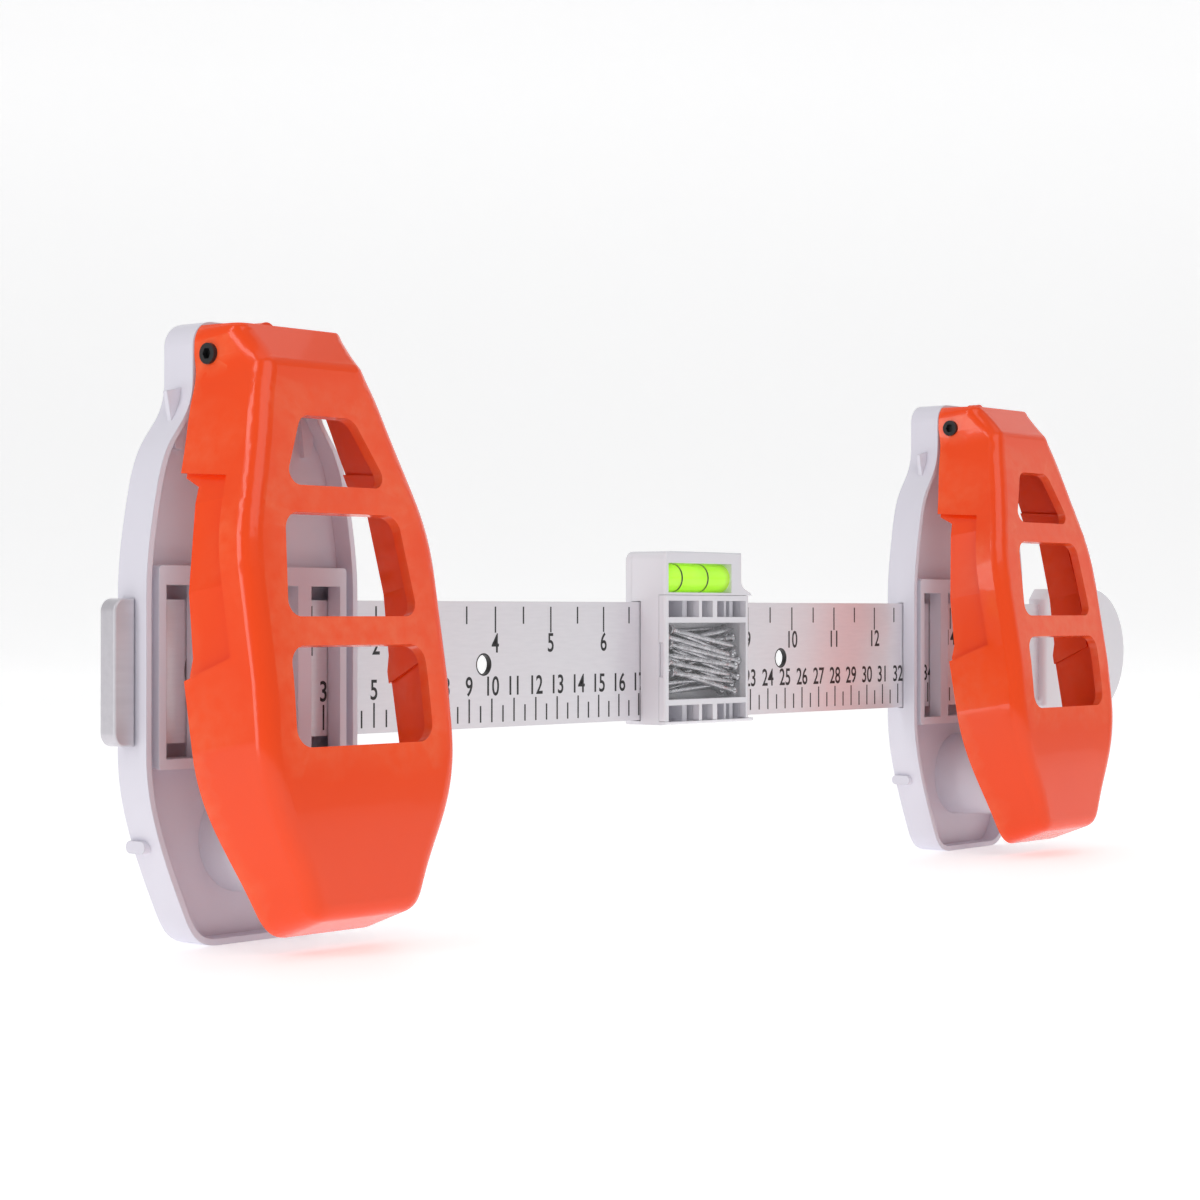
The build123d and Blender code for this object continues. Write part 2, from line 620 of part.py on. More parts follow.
def make_lever():
    """The hinged orange shell with three windows and a finger recess in each flank."""
    outer = lever_block(0.0, 0.0, LEVER_ROUND)
    inner = lever_block(LEVER_SIDE, LEVER_FACE, 0.0)
    # Flat pad inside the front that pushes the plunger.
    with BuildPart() as pad:
        with BuildSketch(lever_plane(PAD_DEPTH)):
            with Locations((0, BOSS_Z)):
                Circle(PAD_R)
        extrude(amount=LEVER_FRONT - PAD_DEPTH)
        add(inner, mode=Mode.INTERSECT)
    with BuildPart() as lever:
        add(outer)
        add(inner, mode=Mode.SUBTRACT)
        # Behind the finger recesses the flanks are thicker on the inside.
        add(flank_blocks(RECESS_DEEP + RECESS_WALL, RECESS_DEEP, LEVER_REAR, RECESS_WALL))
        add(flank_blocks(RECESS_DEEP, -FLANK_CLEAR, LEVER_REAR - 2, 0.0), mode=Mode.SUBTRACT)
        with BuildSketch(lever_side()) as notch:
            with BuildLine():
                Polyline(
                    (LEVER_REAR - 1, RECESS_TOP + 3),
                    (LEVER_REAR + NOTCH_TOP, RECESS_TOP - 1),
                    (LEVER_REAR + NOTCH_LOW, RECESS_LOW + 2),
                    (LEVER_REAR - 1, RECESS_LOW - 5),
                    (LEVER_REAR - 1, RECESS_TOP + 3),
                )
            make_face()
        extrude(amount=60, both=True, mode=Mode.SUBTRACT)
        with BuildSketch(lever_plane(LEVER_FRONT + 1)):
            for window in LEVER_WINDOWS:
                add(window_face(*window))
        extrude(amount=-LEVER_FACE - 6, mode=Mode.SUBTRACT)
        with BuildSketch(lever_side()):
            with Locations((0, HINGE_Z)):
                Circle(HINGE_R + RUNNING_GAP)
        extrude(amount=40, both=True, mode=Mode.SUBTRACT)
        add(pad.part)
        # Level top, and a heel that stops against the shell's rim as the lever stands open.
        with BuildSketch(upwards(0, 0, LEVER_TOP)):
            Rectangle(80, 80)
        extrude(amount=10, mode=Mode.SUBTRACT)
        with BuildSketch(facing(0, RIM_Y - HEEL_GAP)):
            Rectangle(80, 300)
        extrude(amount=-10, mode=Mode.SUBTRACT)
        with BuildSketch(facing(0, RIM_Y - HEEL_GAP)):
            with Locations((0, LEVER_TOP - 1)):
                SlotOverall(NUB_WIDTH, 2 * NUB_HEIGHT + 2)
                Rectangle(NUB_WIDTH + 1, 8, align=(Align.CENTER, Align.MAX), mode=Mode.SUBTRACT)
        extrude(amount=NUB_LONG)
    save_for_arms(lever, "lever")


def make_plate_screws():
    """The four screws that hold the back plate."""
    with BuildPart() as screws:
        for screw_x, screw_z in PLATE_SCREWS:
            add(
                countersunk_screw(
                    screw_x, BACK_Y, screw_z, PLATE_SCREW_R, PLATE_HEAD_R, PLATE_SCREW_DEPTH
                )
            )
    save_for_arms(screws, "plate_screws")


def make_hinge_screws():
    """Two black shoulder screws, one through each ear of the lever into its lug."""
    with BuildPart() as screws:
        for out in (-1, 1):
            with BuildSketch(sideways(out * LUG_OUT, HINGE_Y, HINGE_Z)):
                Circle(HINGE_R)
            extrude(amount=out * (EAR_OUT - LUG_OUT))
            with BuildSketch(sideways(out * LUG_IN, HINGE_Y, HINGE_Z)):
                Circle(THREAD_R)
            extrude(amount=out * (LUG_OUT - LUG_IN))
            with BuildSketch(sideways(out * EAR_OUT, HINGE_Y, HINGE_Z)):
                RegularPolygon(HEX_R, 6)
            extrude(amount=-out * HEX_DEEP, mode=Mode.SUBTRACT)
    save_for_arms(screws, "hinge_screws")


def make_plunger():
    """The white thimble that the lever pushes: a domed head with the needle's socket inside."""
    rear_y = DOME_APEX_Y + PLUNGER_LENGTH
    with BuildPart() as plunger:
        with BuildSketch(facing(0, rear_y, BOSS_Z)):
            Circle(PLUNGER_R)
            Circle(PLUNGER_R - PLUNGER_WALL, mode=Mode.SUBTRACT)
        extrude(amount=PLUNGER_LENGTH)
        with BuildSketch(facing(0, HEAD_INNER_Y, BOSS_Z)):
            Circle(PLUNGER_R)
        extrude(amount=HEAD_INNER_Y - DOME_APEX_Y)
        with BuildSketch(facing(0, SOCKET_Y, BOSS_Z)):
            Circle(NEEDLE_GUIDE_R - 0.4)
        extrude(amount=SOCKET_Y - HEAD_INNER_Y)
        with BuildSketch(facing(0, SOCKET_Y, BOSS_Z)):
            Circle(NEEDLE_R)
        extrude(amount=SOCKET_Y - HEAD_INNER_Y, mode=Mode.SUBTRACT)
        with BuildSketch(sideways(0, DOME_CENTRE_Y, BOSS_Z)):
            Circle(DOME_R)
            Rectangle(2 * DOME_R, DOME_R, align=(Align.CENTER, Align.MAX), mode=Mode.SUBTRACT)
        revolve(axis=Axis((0, RULER_Y, RULER_Z + BOSS_Z), (0, 1, 0)), mode=Mode.INTERSECT)
    save_for_arms(plunger, "plunger")


def make_needle():
    """The steel marking needle, held in the plunger's socket."""
    tip_y = BACK_Y + NEEDLE_OUT - PLUNGER_TRAVEL
    with BuildPart() as needle:
        with BuildSketch(sideways(0, 0, BOSS_Z)):
            with BuildLine():
                Polyline(
                    (HEAD_INNER_Y, 0),
                    (HEAD_INNER_Y, NEEDLE_R),
                    (tip_y - NEEDLE_TAPER, NEEDLE_R),
                    (tip_y, 0),
                    (HEAD_INNER_Y, 0),
                )
            make_face()
        revolve(axis=Axis((0, RULER_Y, RULER_Z + BOSS_Z), (0, 1, 0)))
    save_for_arms(needle, "marking_needle")


def make_return_spring():
    """The coil spring between the back plate and the plunger's head."""
    start_y = PLATE_Y - SPRING_WIRE_R - 0.1
    length = start_y - HEAD_INNER_Y - SPRING_WIRE_R - 0.1
    with BuildPart() as spring:
        with BuildLine():
            coil = Helix(
                length / SPRING_TURNS,
                length,
                SPRING_R,
                center=facing(0, start_y, BOSS_Z).origin,
                direction=(0, -1, 0),
            )
        with BuildSketch(Plane(origin=coil @ 0, z_dir=coil % 0)):
            Circle(SPRING_WIRE_R)
        sweep(path=coil, is_frenet=True)
    save_for_arms(spring, "return_spring")


def make_brake_spring():
    """The leaf that makes an arm stay where it is put."""
    with BuildPart() as brake_spring:
        add(bowed_leaf(0, ARM_LEAF, PLATE_Y))
    save_for_arms(brake_spring, "brake_spring")


make_shell()
make_back_plate()
make_plate_screws()
make_lever()
make_hinge_screws()
make_plunger()
make_needle()
make_return_spring()
make_brake_spring()


# ------------------------------------------------------------------ spirit-level slider
def slider_outline():
    """The slider's outline face: a block with the vial housing standing on its left part."""
    with BuildSketch() as outline:
        with BuildLine():
            Polyline(
                (SLIDER_LEFT, SLIDER_TOP), (SLIDER_LEFT, SLIDER_LOW), (SLIDER_RIGHT, SLIDER_LOW)
            )
            Line((SLIDER_RIGHT, SLIDER_LOW), (SLIDER_RIGHT, SHOULDER[1]))
            Spline(
                (SLIDER_RIGHT, SHOULDER[1]), (HOUSING_RIGHT, SHOULDER[0]), tangents=((0, 1), (0, 1))
            )
            Line((HOUSING_RIGHT, SHOULDER[0]), (HOUSING_RIGHT, SLIDER_TOP))
            Line((HOUSING_RIGHT, SLIDER_TOP), (SLIDER_LEFT, SLIDER_TOP))
        make_face()
        top_corners = outline.vertices().group_by(Axis.Y)[-1].sort_by(Axis.X)
        low_corners = outline.vertices().group_by(Axis.Y)[0].sort_by(Axis.X)
        fillet(top_corners[0], radius=3.0)
        fillet(top_corners[-1], radius=6.0)
        fillet(low_corners[0], radius=3.0)
        fillet(low_corners[-1], radius=1.6)
    return outline.sketch


def cell_holes():
    """The six small openings above and below the nail window."""
    with BuildSketch() as holes:
        for left, right in CELLS:
            for z in (-CELL_Z, CELL_Z):
                with Locations(((left + right) / 2, z)):
                    Rectangle(right - left, CELL_HEIGHT)
    return holes.sketch


def box_hole(left, right, half):
    """A rectangle from left to right, half high each way."""
    with BuildSketch() as hole:
        with Locations(((left + right) / 2, 0)):
            Rectangle(right - left, 2 * half)
    return hole.sketch


with BuildPart() as slider_body:
    with BuildSketch(facing(SLIDER_X, SLIDER_SEAM)):
        add(slider_outline())
    extrude(amount=SLIDER_SEAM - SLIDER_FRONT)
    fillet(slider_body.faces().sort_by(Axis.Y)[0].edges(), radius=1.0)
    # Seat of the cover, between the vial housing and the bottom lip.
    with BuildSketch(facing(SLIDER_X, COVER_SEAT)):
        with Locations((0, sum(COVER_Z) / 2)):
            Rectangle(60, COVER_Z[1] - COVER_Z[0] + 2 * COVER_GAP)
    extrude(amount=10, mode=Mode.SUBTRACT)
    # Nail box and the small cells, with their posts.
    with BuildSketch(facing(SLIDER_X, BOX_FLOOR)):
        add(box_hole(*BOX))
        add(cell_holes())
    extrude(amount=10, mode=Mode.SUBTRACT)
    with BuildSketch(facing(SLIDER_X, BOX_FLOOR)):
        for post_x, width in POSTS:
            with Locations((post_x, CELL_Z), (post_x, -CELL_Z)):
                Rectangle(width, CELL_HEIGHT)
    extrude(amount=BOX_FLOOR - POST_FRONT)
    # Bed of the vial, open to the front.
    with BuildSketch(sideways(SLIDER_X + VIAL_ENDS[0])):
        with Locations((VIAL_Y, VIAL_Z)):
            Circle(VIAL_R)
            Rectangle(10, 2 * VIAL_R, align=(Align.MAX, Align.CENTER))
    extrude(amount=VIAL_ENDS[1] - VIAL_ENDS[0], mode=Mode.SUBTRACT)
    # Ruler channel, hook groove, hinge pin holes and screw holes.
    with BuildSketch(facing(SLIDER_X, SLIDER_SEAM)):
        Rectangle(60, 2 * CHANNEL_HALF)
    extrude(amount=SLIDER_SEAM - CHANNEL_FRONT, mode=Mode.SUBTRACT)
    with BuildSketch(sideways(SLIDER_X - 15.0)):
        with Locations((2.6, -CHANNEL_HALF)):
            Rectangle(0.9, 2 * HOOK_Z)
    extrude(amount=30.0, mode=Mode.SUBTRACT)
    with BuildSketch(upwards(SLIDER_X, 0, PIN_Z[0])):
        with Locations((PIN_X, PIN_Y)):
            Circle(PIN_R)
    extrude(amount=PIN_Z[1] - PIN_Z[0], mode=Mode.SUBTRACT)
    with BuildSketch(walling(SLIDER_X, SLIDER_SEAM, SLIDER_SCREW_Z)):
        with Locations([(-screw_x, 0) for screw_x in SLIDER_SCREWS]):
            Circle(PLATE_SCREW_R)
    extrude(amount=SLIDER_BACK - SLIDER_SEAM - SLIDER_SCREW_DEPTH, mode=Mode.SUBTRACT)
save(slider_body, "slider_body")

with BuildPart() as slider_back:
    with BuildSketch(facing(SLIDER_X, SLIDER_BACK)):
        add(slider_outline())
    extrude(amount=SLIDER_BACK - SLIDER_SEAM)
    fillet(slider_back.faces().sort_by(Axis.Y)[-1].edges(), radius=1.0)
    with BuildSketch(facing(SLIDER_X, SLIDER_SEAM)):
        with Locations(((SLIDER_LEFT + SLIDER_RIGHT) / 2, 0)):
            Rectangle(SLIDER_RIGHT - SLIDER_LEFT, 2 * TONGUE_HALF_Z)
    extrude(amount=SLIDER_SEAM - CHANNEL_BACK)
    with BuildSketch(sideways(SLIDER_X - 14.5)):
        with Locations((2.6, -TONGUE_HALF_Z)):
            Rectangle(0.7, HOOK_Z, align=(Align.CENTER, Align.MAX))
    extrude(amount=29.0)
    with BuildSketch(facing(SLIDER_X, PLATE_Y)):
        Rectangle(2 * SLIDER_LEAF + 1, LEAF_HEIGHT + 1)
    extrude(amount=PLATE_Y - CHANNEL_BACK, mode=Mode.SUBTRACT)
    for screw_x in SLIDER_SCREWS:
        with Locations(walling(SLIDER_X + screw_x, SLIDER_BACK, SLIDER_SCREW_Z)):
            CounterSinkHole(PLATE_SCREW_R, PLATE_HEAD_R, depth=SLIDER_BACK - SLIDER_SEAM)
save(slider_back, "slider_back")

with BuildPart() as slider_screws:
    for screw_x in SLIDER_SCREWS:
        add(
            countersunk_screw(
                SLIDER_X + screw_x,
                SLIDER_BACK,
                SLIDER_SCREW_Z,
                PLATE_SCREW_R,
                PLATE_HEAD_R,
                SLIDER_SCREW_DEPTH,
            )
        )
save(slider_screws, "slider_screws")

with BuildPart() as slider_brake_spring:
    add(bowed_leaf(SLIDER_X, SLIDER_LEAF, PLATE_Y))
save(slider_brake_spring, "slider_brake_spring")

# Cover of the nail box, hinged on its right edge.
with BuildPart() as nail_cover:
    with BuildSketch(upwards(SLIDER_X, 0, COVER_Z[0])) as cover_section:
        with Locations((SLIDER_LEFT, SLIDER_FRONT)):
            Rectangle(
                PIN_X - SLIDER_LEFT, COVER_BACK - SLIDER_FRONT, align=(Align.MIN, Align.MIN)
            )
        fillet(cover_section.vertices().group_by(Axis.X)[0].sort_by(Axis.Y)[0], radius=1.0)
        with Locations((PIN_X, PIN_Y)):
            Circle(KNUCKLE_R)
    extrude(amount=COVER_Z[1] - COVER_Z[0])
    with BuildSketch(facing(SLIDER_X, COVER_BACK)):
        add(box_hole(*COVER_WINDOW))
        add(cell_holes())
    extrude(amount=10, mode=Mode.SUBTRACT)
    with BuildSketch(upwards(SLIDER_X, 0, COVER_Z[0])):
        with Locations((PIN_X, PIN_Y)):
            Circle(PIN_R + RUNNING_GAP)
    extrude(amount=COVER_Z[1] - COVER_Z[0], mode=Mode.SUBTRACT)
    # Thumb notch in the free edge.
    with BuildSketch(facing(SLIDER_X, COVER_BACK)):
        with Locations((SLIDER_LEFT, 0.5)):
            SlotOverall(11.0, 1.6, rotation=90)
    extrude(amount=1.6, mode=Mode.SUBTRACT)
save(nail_cover, "nail_cover")

with BuildPart() as cover_pin:
    with BuildSketch(upwards(SLIDER_X, 0, PIN_Z[0])):
        with Locations((PIN_X, PIN_Y)):
            Circle(PIN_R)
    extrude(amount=PIN_Z[1] - PIN_Z[0])
save(cover_pin, "cover_pin")

with BuildPart() as nail_window:
    with BuildSketch(facing(SLIDER_X, PANE_Y[1])):
        add(box_hole(*COVER_WINDOW))
    extrude(amount=PANE_Y[1] - PANE_Y[0])
save(nail_window, "nail_window")

# Picture nails lying in the box, layer on layer.
with BuildPart() as nails:
    for depth, slope, heights in NAIL_LAYERS:
        for number, height in enumerate(heights):
            turn = radians(slope + 180 * (number % 2))
            middle = facing(SLIDER_X - 0.4, depth, height).origin
            spot = Plane(middle, x_dir=(cos(turn), 0, sin(turn)), z_dir=(0, -1, 0))
            with BuildSketch(spot):
                with BuildLine():
                    Polyline(
                        (-NAIL_LENGTH / 2, 0),
                        (-NAIL_LENGTH / 2, NAIL_HEAD_R),
                        (-NAIL_LENGTH / 2 + NAIL_HEAD, NAIL_HEAD_R),
                        (-NAIL_LENGTH / 2 + NAIL_HEAD, NAIL_R),
                        (NAIL_LENGTH / 2 - NAIL_POINT, NAIL_R),
                        (NAIL_LENGTH / 2, 0),
                        (-NAIL_LENGTH / 2, 0),
                    )
                make_face()
            revolve(axis=Axis(spot.origin, spot.x_dir))
save(nails, "nails")

# Bubble vial with its liquid and the two marks around it.
with BuildPart() as vial_tube:
    with BuildSketch(sideways(SLIDER_X + VIAL_ENDS[0], VIAL_Y, VIAL_Z)):
        Circle(VIAL_R)
    extrude(amount=VIAL_ENDS[1] - VIAL_ENDS[0])
    with BuildSketch(sideways(SLIDER_X + VIAL_ENDS[0] + VIAL_WALL, VIAL_Y, VIAL_Z)):
        Circle(VIAL_BORE)
    extrude(amount=VIAL_ENDS[1] - VIAL_ENDS[0] - 2 * VIAL_WALL, mode=Mode.SUBTRACT)
    for mark in (-RING_OFFSET, RING_OFFSET):
        with BuildSketch(sideways(SLIDER_X + BUBBLE_X + mark - RING_WIDTH / 2, VIAL_Y, VIAL_Z)):
            Circle(VIAL_R)
            Circle(VIAL_R - RING_THICK, mode=Mode.SUBTRACT)
        extrude(amount=RING_WIDTH, mode=Mode.SUBTRACT)
save(vial_tube, "vial_tube")

with BuildPart() as vial_rings:
    for mark in (-RING_OFFSET, RING_OFFSET):
        with BuildSketch(sideways(SLIDER_X + BUBBLE_X + mark - RING_WIDTH / 2, VIAL_Y, VIAL_Z)):
            Circle(VIAL_R)
            Circle(VIAL_R - RING_THICK, mode=Mode.SUBTRACT)
        extrude(amount=RING_WIDTH)
save(vial_rings, "vial_rings")

with BuildPart() as vial_fluid:
    with BuildSketch(sideways(SLIDER_X + VIAL_ENDS[0] + VIAL_WALL, VIAL_Y, VIAL_Z)):
        Circle(VIAL_BORE)
    extrude(amount=VIAL_ENDS[1] - VIAL_ENDS[0] - 2 * VIAL_WALL)
    bubble_z = VIAL_Z + VIAL_BORE - BUBBLE_R - 0.1
    with BuildSketch(facing(SLIDER_X + BUBBLE_X, VIAL_Y, bubble_z)):
        SlotCenterToCenter(2 * BUBBLE_HALF, 2 * BUBBLE_R)
        Rectangle(60, 20, align=(Align.CENTER, Align.MAX), mode=Mode.SUBTRACT)
    revolve(
        axis=Axis((SLIDER_X, RULER_Y + VIAL_Y, RULER_Z + bubble_z), (1, 0, 0)),
        mode=Mode.SUBTRACT,
    )
save(vial_fluid, "vial_fluid")
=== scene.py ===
import json
import math
import random

import bmesh
import bpy
from mathutils import Matrix, Vector


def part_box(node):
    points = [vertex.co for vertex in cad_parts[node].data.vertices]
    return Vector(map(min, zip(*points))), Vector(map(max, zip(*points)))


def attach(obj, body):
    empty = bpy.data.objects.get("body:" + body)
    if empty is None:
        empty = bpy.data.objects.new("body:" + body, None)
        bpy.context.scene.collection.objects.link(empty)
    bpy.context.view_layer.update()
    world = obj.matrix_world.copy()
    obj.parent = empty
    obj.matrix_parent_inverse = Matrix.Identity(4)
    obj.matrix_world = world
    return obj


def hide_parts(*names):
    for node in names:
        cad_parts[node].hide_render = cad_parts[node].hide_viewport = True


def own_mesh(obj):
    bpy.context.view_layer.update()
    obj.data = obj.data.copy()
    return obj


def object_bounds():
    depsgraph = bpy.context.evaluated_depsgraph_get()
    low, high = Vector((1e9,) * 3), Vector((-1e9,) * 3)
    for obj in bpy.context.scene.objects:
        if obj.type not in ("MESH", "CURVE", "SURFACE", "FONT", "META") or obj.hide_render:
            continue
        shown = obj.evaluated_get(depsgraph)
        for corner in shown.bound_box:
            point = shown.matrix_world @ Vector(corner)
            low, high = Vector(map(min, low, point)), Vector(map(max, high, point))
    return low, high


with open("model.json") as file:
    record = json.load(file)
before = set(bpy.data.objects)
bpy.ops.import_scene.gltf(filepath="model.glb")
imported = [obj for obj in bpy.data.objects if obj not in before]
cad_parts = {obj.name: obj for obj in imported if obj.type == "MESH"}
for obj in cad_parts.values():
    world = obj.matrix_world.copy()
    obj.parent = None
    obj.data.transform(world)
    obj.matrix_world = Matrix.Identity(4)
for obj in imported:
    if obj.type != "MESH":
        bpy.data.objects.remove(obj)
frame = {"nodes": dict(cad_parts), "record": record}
size_low, size_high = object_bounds()

MM = 0.001
INCH = 25.4 * MM

# ---- places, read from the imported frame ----
blade_low, blade_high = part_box("ruler_blade")
RULER_FACE = blade_low.y
RULER_MIDDLE = (blade_low.z + blade_high.z) / 2
RULER_HALF = (blade_high.z - blade_low.z) / 2
BLADE_END_TO_ZERO = 43.65 * MM      # from the blade's left tip to its zero mark
ZERO = blade_low.x + BLADE_END_TO_ZERO
ARMS = ("left", "right")
BODY_OF = {
    node: body
    for body, nodes in frame["record"]["behaviour"]["bodies"].items()
    for node in nodes
}

# ---- printed scale ----
INK_THICK = 0.03 * MM
TICK_WIDTH = 0.62 * MM
TICK_EDGE = 1.6 * MM                # from the ruler's edge to the marks
INCH_TICKS = (7.9 * MM, 5.25 * MM)  # whole and half marks
CM_TICKS = (7.1 * MM, 5.0 * MM)
DIGIT_HEIGHT = 5.7 * MM
DIGIT_WIDEN = 0.82
DIGIT_BOLD = 0.09 * MM              # how much each digit's outline is thickened
DIGIT_CURVE_STEPS = 6
FONT_CAP = 0.70                     # height of a digit over the font's size
INCHES = 16
CENTIMETRES = 41
DIGIT_GAP = 0.6 * MM
UNPRINTED_END = 26 * MM             # bare length at the ruler's right end, inside the cap
LAST_PRINT = blade_high.x - UNPRINTED_END
HOLE_RING = 0.4 * MM                # width of the ring printed around a marking hole
HOLE_SIDES = 56

# ---- camera: the photograph's angle ----
CAMERA_PLACE = (-0.69998, -0.50785, 0.08832)
CAMERA_TURN = 50.0                  # degrees from +Y towards +X
CAMERA_RISE = 0.296
CAMERA_LENS = 78.2


# ------------------------------------------------------------------ materials
class Finish:
    """A principled material with its own noise for colour, roughness and surface grain."""

    def __init__(self, name, colour, roughness, metallic=0.0):
        self.material = bpy.data.materials.new(name)
        self.material.use_nodes = True
        self.tree = self.material.node_tree
        self.shader = self.tree.nodes["Principled BSDF"]
        self.shader.inputs["Base Color"].default_value = (*colour, 1.0)
        self.shader.inputs["Roughness"].default_value = roughness
        self.shader.inputs["Metallic"].default_value = metallic
        self.colour = colour
        self.roughness = roughness
        self.place = self.node("ShaderNodeTexCoord").outputs["Object"]

    def node(self, kind, **settings):
        made = self.tree.nodes.new(kind)
        for key, value in settings.items():
            setattr(made, key, value)
        return made

    def link(self, source, target):
        self.tree.links.new(source, target)

    def scaled(self, stretch):
        """The object's own coordinates, multiplied by stretch along each axis."""
        mapping = self.node("ShaderNodeMapping")
        mapping.inputs["Scale"].default_value = stretch
        self.link(self.place, mapping.inputs["Vector"])
        return mapping.outputs["Vector"]

    def noise(self, scale, detail=4.0, stretch=(1, 1, 1)):
        texture = self.node("ShaderNodeTexNoise")
        texture.inputs["Scale"].default_value = scale
        texture.inputs["Detail"].default_value = detail
        self.link(self.scaled(stretch), texture.inputs["Vector"])
        return texture.outputs["Fac"]

    def spread(self, value, low, high, start=0.3, end=0.7):
        """Maps value's range from start to end onto low to high, and holds it outside."""
        ramp = self.node("ShaderNodeMapRange")
        ramp.inputs["From Min"].default_value = start
        ramp.inputs["From Max"].default_value = end
        ramp.inputs["To Min"].default_value = low
        ramp.inputs["To Max"].default_value = high
        self.link(value, ramp.inputs["Value"])
        return ramp.outputs["Result"]

    def mix(self, factor, first, second):
        """A blend of two colours, each a plain colour or another node's output."""
        blend = self.node("ShaderNodeMix", data_type="RGBA")
        self.link(factor, blend.inputs["Factor"])
        for socket, value in ((blend.inputs[6], first), (blend.inputs[7], second)):
            if isinstance(value, tuple):
                socket.default_value = (*value, 1.0)
            else:
                self.link(value, socket)
        return blend.outputs[2]

    def vary_colour(self, other, scale, detail=3.0, stretch=(1, 1, 1), amount=1.0):
        """Clouds the base colour towards another one."""
        factor = self.spread(self.noise(scale, detail, stretch), 0.0, amount)
        mixed = self.mix(factor, self.colour, other)
        self.link(mixed, self.shader.inputs["Base Color"])
        return mixed

    def vary_roughness(self, low, high, scale, stretch=(1, 1, 1)):
        self.link(
            self.spread(self.noise(scale, 6.0, stretch), low, high),
            self.shader.inputs["Roughness"],
        )

    def grain(self, scale, strength, depth, stretch=(1, 1, 1), edge=0.0):
        """Surface grain as a bump, over edges softened by a bevel of the given radius."""
        bump = self.node("ShaderNodeBump")
        bump.inputs["Strength"].default_value = strength
        bump.inputs["Distance"].default_value = depth
        self.link(self.noise(scale, 8.0, stretch), bump.inputs["Height"])
        if edge:
            bevel = self.node("ShaderNodeBevel", samples=4)
            bevel.inputs["Radius"].default_value = edge
            self.link(bevel.outputs["Normal"], bump.inputs["Normal"])
        self.link(bump.outputs["Normal"], self.shader.inputs["Normal"])

    def worn_edges(self, colour, start=0.52, end=0.60, amount=0.5):
        """Painted highlight: lightens the sharp edges towards a paler colour, broken up by noise.
        """
        point = self.node("ShaderNodeNewGeometry").outputs["Pointiness"]
        edge_glint = self.spread(point, 0.0, amount, start, end)
        patchy_glint = self.node("ShaderNodeMath", operation="MULTIPLY")
        self.link(edge_glint, patchy_glint.inputs[0])
        self.link(self.spread(self.noise(260.0), 0.2, 1.0), patchy_glint.inputs[1])
        base = self.shader.inputs["Base Color"]
        first = base.links[0].from_socket if base.links else self.colour
        self.link(self.mix(patchy_glint.outputs[0], first, colour), base)

    def set(self, **values):
        for key, value in values.items():
            self.shader.inputs[key.replace("_", " ")].default_value = value
        return self.material


def moulded_plastic(name, colour, tint, roughness, grain, edge, uneven=0.05):
    """Injection-moulded plastic: faint clouding, uneven sheen and a fine moulded grain."""
    made = Finish(name, colour, roughness)
    made.vary_colour(tint, 22.0)
    made.vary_roughness(roughness - uneven, roughness + uneven, 90.0)
    made.grain(2600.0, grain, 0.04 * MM, edge=edge)
    return made


def glossy_lever():
    made = moulded_plastic(
        "orange_lever", (0.97, 0.072, 0.004), (0.94, 0.064, 0.003), 0.24, 0.015, 0.0, 0.02
    )
    # Painted highlight: a peach colour along the lever's sharp edges.
    made.worn_edges((1.0, 0.28, 0.12), amount=0.30)
    return made.set(Coat_Weight=0.35, Coat_Roughness=0.04, Specular_IOR_Level=0.3)


def brushed_metal(name, colour, tint, roughness, stretch, metallic=1.0, bump=0.12):
    """Metal with long brushing lines along one direction."""
    made = Finish(name, colour, roughness, metallic)
    made.vary_colour(tint, 60.0, stretch=stretch)
    made.vary_roughness(roughness - 0.02, roughness + 0.03, 60.0, stretch)
    made.grain(80.0, bump, 0.01 * MM, stretch)
    return made


def scratched_steel(name, colour, roughness):
    """Bright wire or nail steel with dark draw marks."""
    made = Finish(name, colour, roughness, 1.0)
    made.vary_colour(tuple(0.45 * c for c in colour), 420.0, 6.0, amount=0.8)
    made.vary_roughness(roughness - 0.08, roughness + 0.18, 700.0)
    made.grain(2400.0, 0.25, 0.03 * MM)
    return made.material


def clear_pane():
    """A thin clear sheet: mostly see-through, with a reflection and faint scuffs."""
    made = Finish("clear_pane", (0.96, 0.98, 1.0), 0.05)
    made.vary_roughness(0.02, 0.16, 160.0)
    made.grain(500.0, 0.04, 0.02 * MM)
    return made.set(Alpha=0.05, Specular_IOR_Level=0.5, IOR=1.46)


def vial_acrylic():
    made = Finish("vial_clear", (0.62, 0.94, 0.10), 0.04)
    made.vary_colour((0.56, 0.90, 0.06), 130.0)
    made.vary_roughness(0.02, 0.09, 240.0)
    # Painted glow: the emission makes the clear vial shine lime, though it is no lamp.
    return made.set(
        Alpha=0.55,
        Specular_IOR_Level=0.6,
        IOR=1.49,
        Emission_Color=(0.50, 0.90, 0.05, 1.0),
        Emission_Strength=0.25,
    )


BUBBLE_REACH = 0.36     # half length of the bubble over the rings' outer distance
BUBBLE_EDGE = 0.93      # share of the bubble's half length before its edge starts to fade
BUBBLE_FADE = 0.6 * MM  # height over which the bubble's lower edge fades


